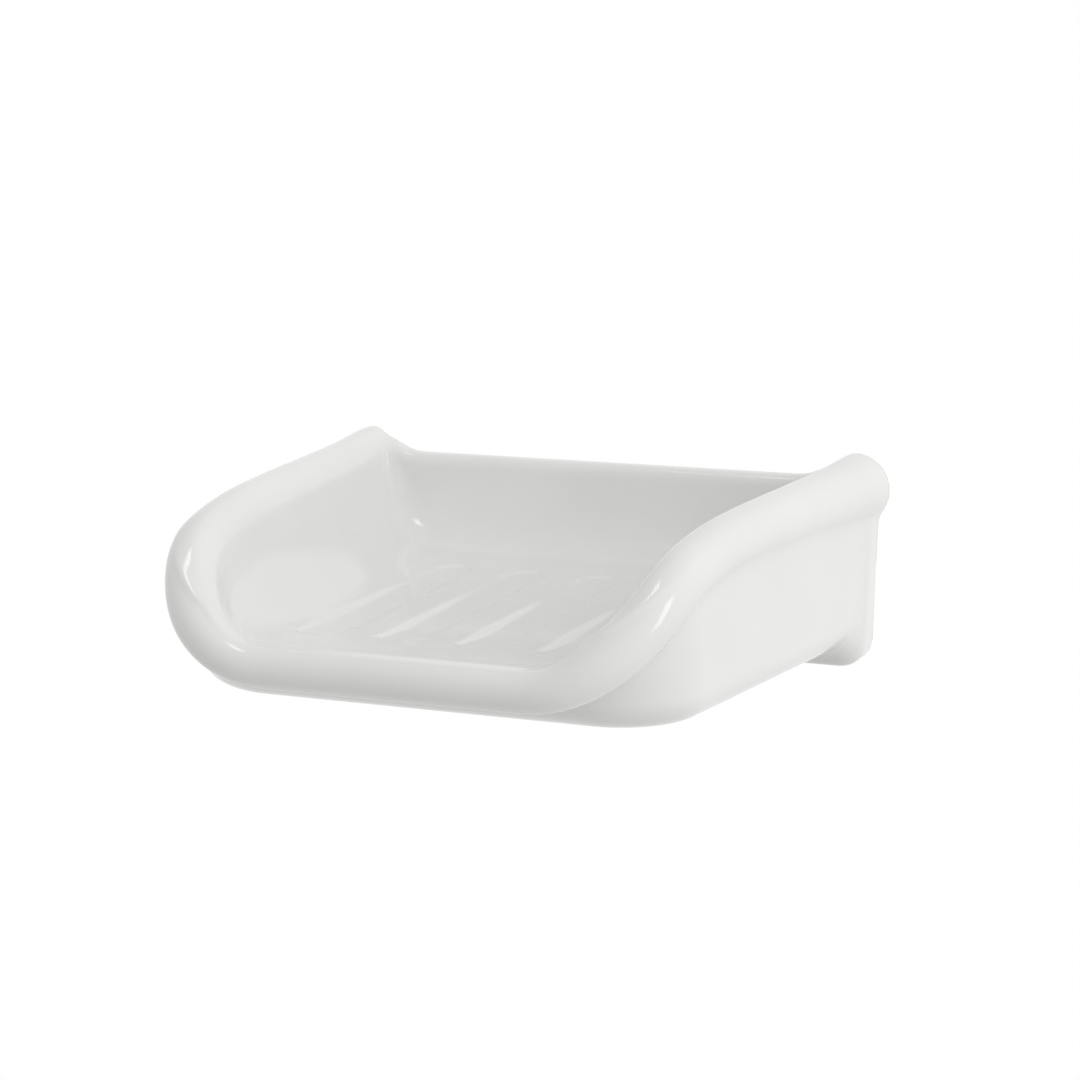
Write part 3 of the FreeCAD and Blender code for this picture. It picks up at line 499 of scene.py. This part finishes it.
def placed(tree, group, values):
    # The group in a material, with that material's own values.
    node = tree.nodes.new("ShaderNodeGroup")
    node.node_tree = group
    for name, value in values.items():
        node.inputs[name].default_value = value
    return node.outputs


def between(tree, share, low, high):
    # A colour or a number that follows the share from one value to the other.
    node = tree.nodes.new("ShaderNodeMix")
    isColour = any(isinstance(v, tuple) or getattr(v, "type", "") == "RGBA" for v in (low, high))
    node.data_type = "RGBA" if isColour else "FLOAT"
    inputs = [i for i in node.inputs if i.enabled]
    for target, value in zip(inputs, (share, low, high)):
        feed(tree, target, value)
    return next(o for o in node.outputs if o.enabled)


def ramped(tree, value, ends):
    node = added(tree, "MapRange", {"Value": value, "From Min": ends[0], "From Max": ends[1]})
    return node.outputs["Result"]


def dress(tree, shader, colour, roughness, height, relief):
    bump = added(tree, "Bump", {"Distance": relief * mm, "Height": height})
    looks = {"Base Color": colour, "Roughness": roughness, "Normal": bump.outputs["Normal"]}
    for name, value in looks.items():
        feed(tree, shader.inputs[name], value)


glaze = {
    "thin": (0.792, 0.792, 0.777, 1),
    "thick": (0.812, 0.812, 0.802, 1),
    "roughness": (0.15, 0.10),
    "cloud": {"Wave": 45.0, "Grain": 420.0},
    "clouded": (0.3, 0.7),
    "relief": 0.035,
}
bareClay = {
    # the flat back, where the glaze stops just short of the wall
    "dark": (0.58, 0.53, 0.46, 1),
    "pale": (0.66, 0.61, 0.54, 1),
    "roughness": 0.86,
    "cloud": {"Wave": 900.0, "Grain": 5000.0},
    "from": (-1.5, -1.0),
}


def makeGlaze():
    material, tree, shader = newMaterial("whiteGlaze")
    cloud, clay = placed(tree, kilnCloud, glaze["cloud"]), placed(tree, kilnCloud, bareClay["cloud"])
    share = ramped(tree, cloud["Tone"], glaze["clouded"])
    place = tree.nodes.new("ShaderNodeTexCoord").outputs["Object"]
    backward = added(tree, "SeparateXYZ", {0: place}).outputs["Y"]
    bare = ramped(tree, backward, [end * mm for end in bareClay["from"]])
    colour = between(tree, share, glaze["thin"], glaze["thick"])
    clayColour = between(tree, clay["Tone"], bareClay["dark"], bareClay["pale"])
    gloss = between(tree, share, *glaze["roughness"])
    both = [
        between(tree, bare, *pair) for pair in (
            (colour, clayColour), (gloss, bareClay["roughness"]), (cloud["Height"], clay["Height"]))
    ]
    dress(tree, shader, *both, glaze["relief"])
    return material


steel = {
    "dark": (0.50, 0.495, 0.48, 1),
    "bright": (0.66, 0.655, 0.64, 1),
    "roughness": (0.40, 0.24),
    "brushed": (60.0, 2600.0, 2600.0),    # fineness of the scratches along each axis
    "turned": (300.0, 5200.0, 300.0),
    "wear": 130.0,
    "worn": (0.5, 1.0),
    "relief": 0.01,
}


def makeSteel(name, lines):
    material, tree, shader = newMaterial(name)
    shader.inputs["Metallic"].default_value = 1.0
    grain = placed(tree, metalGrain, {"Lines": steel[lines], "Wear": steel["wear"]})
    share = ramped(tree, grain["Tone"], steel["worn"])
    colour = between(tree, share, steel["dark"], steel["bright"])
    gloss = between(tree, share, *steel["roughness"])
    dress(tree, shader, colour, gloss, grain["Height"], steel["relief"])
    return material


nylon = {
    "dark": (0.36, 0.37, 0.38, 1),
    "pale": (0.45, 0.46, 0.47, 1),
    "roughness": (0.5, 0.64),
    "cloud": {"Wave": 220.0, "Grain": 2200.0},
    "clouded": (0.3, 0.7),
    "relief": 0.03,
    "clear": 0.0,
}
silicone = {
    "dark": (0.70, 0.71, 0.71, 1),
    "pale": (0.82, 0.83, 0.83, 1),
    "roughness": (0.34, 0.48),
    "cloud": {"Wave": 220.0, "Grain": 1600.0},
    "clouded": (0.3, 0.7),
    "relief": 0.02,
    "clear": 0.35,
}


def makeMoulded(name, look):
    material, tree, shader = newMaterial(name)
    shader.inputs["Transmission Weight"].default_value = look["clear"]
    cloud = placed(tree, kilnCloud, look["cloud"])
    share = ramped(tree, cloud["Tone"], look["clouded"])
    colour = between(tree, share, look["dark"], look["pale"])
    gloss = between(tree, share, *look["roughness"])
    dress(tree, shader, colour, gloss, cloud["Height"], look["relief"])
    return material


china.data.materials.append(makeGlaze())
turnedSteel = makeSteel("turnedSteel", "turned")
finishes = {
    "wall_bracket": makeSteel("brushedSteel", "brushed"), "screw": turnedSteel, "washer": turnedSteel,
    "plug": makeMoulded("greyNylon", nylon), "pad": makeMoulded("clearSilicone", silicone),
}
for name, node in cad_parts.items():
    for start, finish in finishes.items():
        if name.startswith(start):
            node.data.materials.clear()
            node.data.materials.append(finish)
print("finishes ready")

# camera
view = {
    "azimuth": 22.87, "elevation": 9.83,      # degrees
    "distance": 602.4, "aim": (0, -50, 28.0), "right": 3.22, "up": -1.86,
    "focal": 2701.2, "frame": 1080,           # pixels
    "sensor": 36,
    "nearest": 0.01,                          # metres
}


def direction(azimuth, elevation):
    a, e = math.radians(azimuth), math.radians(elevation)
    return Vector((math.sin(a) * math.cos(e), -math.cos(a) * math.cos(e), math.sin(e)))


def placeCamera():
    back = direction(view["azimuth"], view["elevation"])
    a = math.radians(view["azimuth"])
    right = Vector((math.cos(a), math.sin(a), 0))
    up = back.cross(right)
    aim = Vector(view["aim"]) + right * view["right"] + up * view["up"]
    data = bpy.data.cameras.new("camera")
    data.sensor_width = view["sensor"]
    data.lens = view["focal"] / view["frame"] * data.sensor_width
    data.clip_start = view["nearest"]
    camera = bpy.data.objects.new("camera", data)
    rotation = Matrix((right, up, back)).transposed().to_4x4()
    camera.matrix_world = Matrix.Translation((aim + back * view["distance"]) * mm) @ rotation
    bpy.context.scene.collection.objects.link(camera)
    bpy.context.scene.camera = camera


def shownWhite(tree, shader, kind, end):
    # Camera, transmission and glossy rays see plain white. All other rays see the shader.
    path = tree.nodes.new("ShaderNodeLightPath").outputs
    direct = calculated(tree, "MAXIMUM", path["Is Camera Ray"], path["Is Transmission Ray"])
    either = calculated(tree, "MAXIMUM", direct, path["Is Glossy Ray"])
    white = added(tree, kind, {"Color": (1, 1, 1, 1), "Strength": 1.0})
    mix = added(tree, "MixShader", {0: either, 1: shader.outputs[0], 2: white.outputs[0]})
    tree.links.new(mix.outputs[0], end.inputs["Surface"])


# soft light from all round, stronger from some sides
roomLight = [
    # axis, which way along it, level of the light from there
    ("X", 1, 1.29), ("X", -1, 0.44), ("Y", 1, 0.56), ("Y", -1, 0.65), ("Z", 1, 0.82), ("Z", -1, 0.38),
]


def lightRoom():
    world = bpy.data.worlds.new("studio")
    bpy.context.scene.world = world
    world.use_nodes = True
    tree = world.node_tree
    tree.nodes.clear()
    way = tree.nodes.new("ShaderNodeTexCoord").outputs["Generated"]
    axes = added(tree, "SeparateXYZ", {0: way}).outputs
    total = None
    for axis, sign, level in roomLight:
        facing = calculated(tree, "MAXIMUM", calculated(tree, "MULTIPLY", axes[axis], sign), 0)
        part = calculated(tree, "MULTIPLY", calculated(tree, "MULTIPLY", facing, facing), level)
        total = part if total is None else calculated(tree, "ADD", total, part)
    light = added(tree, "Background", {"Color": total, "Strength": 1.0})
    shownWhite(tree, light, "Background", tree.nodes.new("ShaderNodeOutputWorld"))


# a pale floor well below the dish, which the camera sees as white (metres)
ground = {
    "drop": 0.62, "half": 1.3, "roughness": 0.9,
    "colour": (0.62, 0.62, 0.61, 1), "shade": 0.94, "cloud": {"Wave": 12.0, "Grain": 300.0},
}


def layGround():
    half, drop, pale = ground["half"], ground["drop"], ground["colour"]
    mesh = bpy.data.meshes.new("ground")
    corners = [(p * half, q * half, -drop) for p, q in ((-1, -1), (1, -1), (1, 1), (-1, 1))]
    mesh.from_pydata(corners, [], [(0, 1, 2, 3)])
    plate = bpy.data.objects.new("ground", mesh)
    bpy.context.scene.collection.objects.link(plate)
    material, tree, shader = newMaterial("palePaper")
    shader.inputs["Roughness"].default_value = ground["roughness"]
    shade = tuple(ground["shade"] * c for c in pale[:3]) + (1,)
    cloud = placed(tree, kilnCloud, ground["cloud"])
    feed(tree, shader.inputs["Base Color"], between(tree, cloud["Tone"], shade, pale))
    shownWhite(tree, shader, "Emission", next(n for n in tree.nodes if n.type == "OUTPUT_MATERIAL"))
    mesh.materials.append(material)


# two small lamps for the narrow highlights (metres and watts)
lamps = [
    # name, direction (azimuth, elevation) from the dish, distance, size, power
    ("right", (76, 17), 1.5, (0.28, 0.8), 2.4),
    ("top", (-60, 76), 1.3, (0.2, 0.25), 0.7),
]
lampTarget = Vector((0, -0.06, 0.02))


def hangLamps():
    for name, angles, distance, size, power in lamps:
        data = bpy.data.lights.new(name, "AREA")
        data.shape = "RECTANGLE"
        data.size, data.size_y = size
        data.energy = power
        lamp = bpy.data.objects.new(name, data)
        way = direction(*angles)
        lamp.location = lampTarget + way * distance
        lamp.rotation_euler = way.to_track_quat("Z", "Y").to_euler()
        bpy.context.scene.collection.objects.link(lamp)


placeCamera()
lightRoom()
layGround()
hangLamps()
print("light and camera ready")

bpy.context.scene.view_settings.view_transform = "Standard"
print("done")
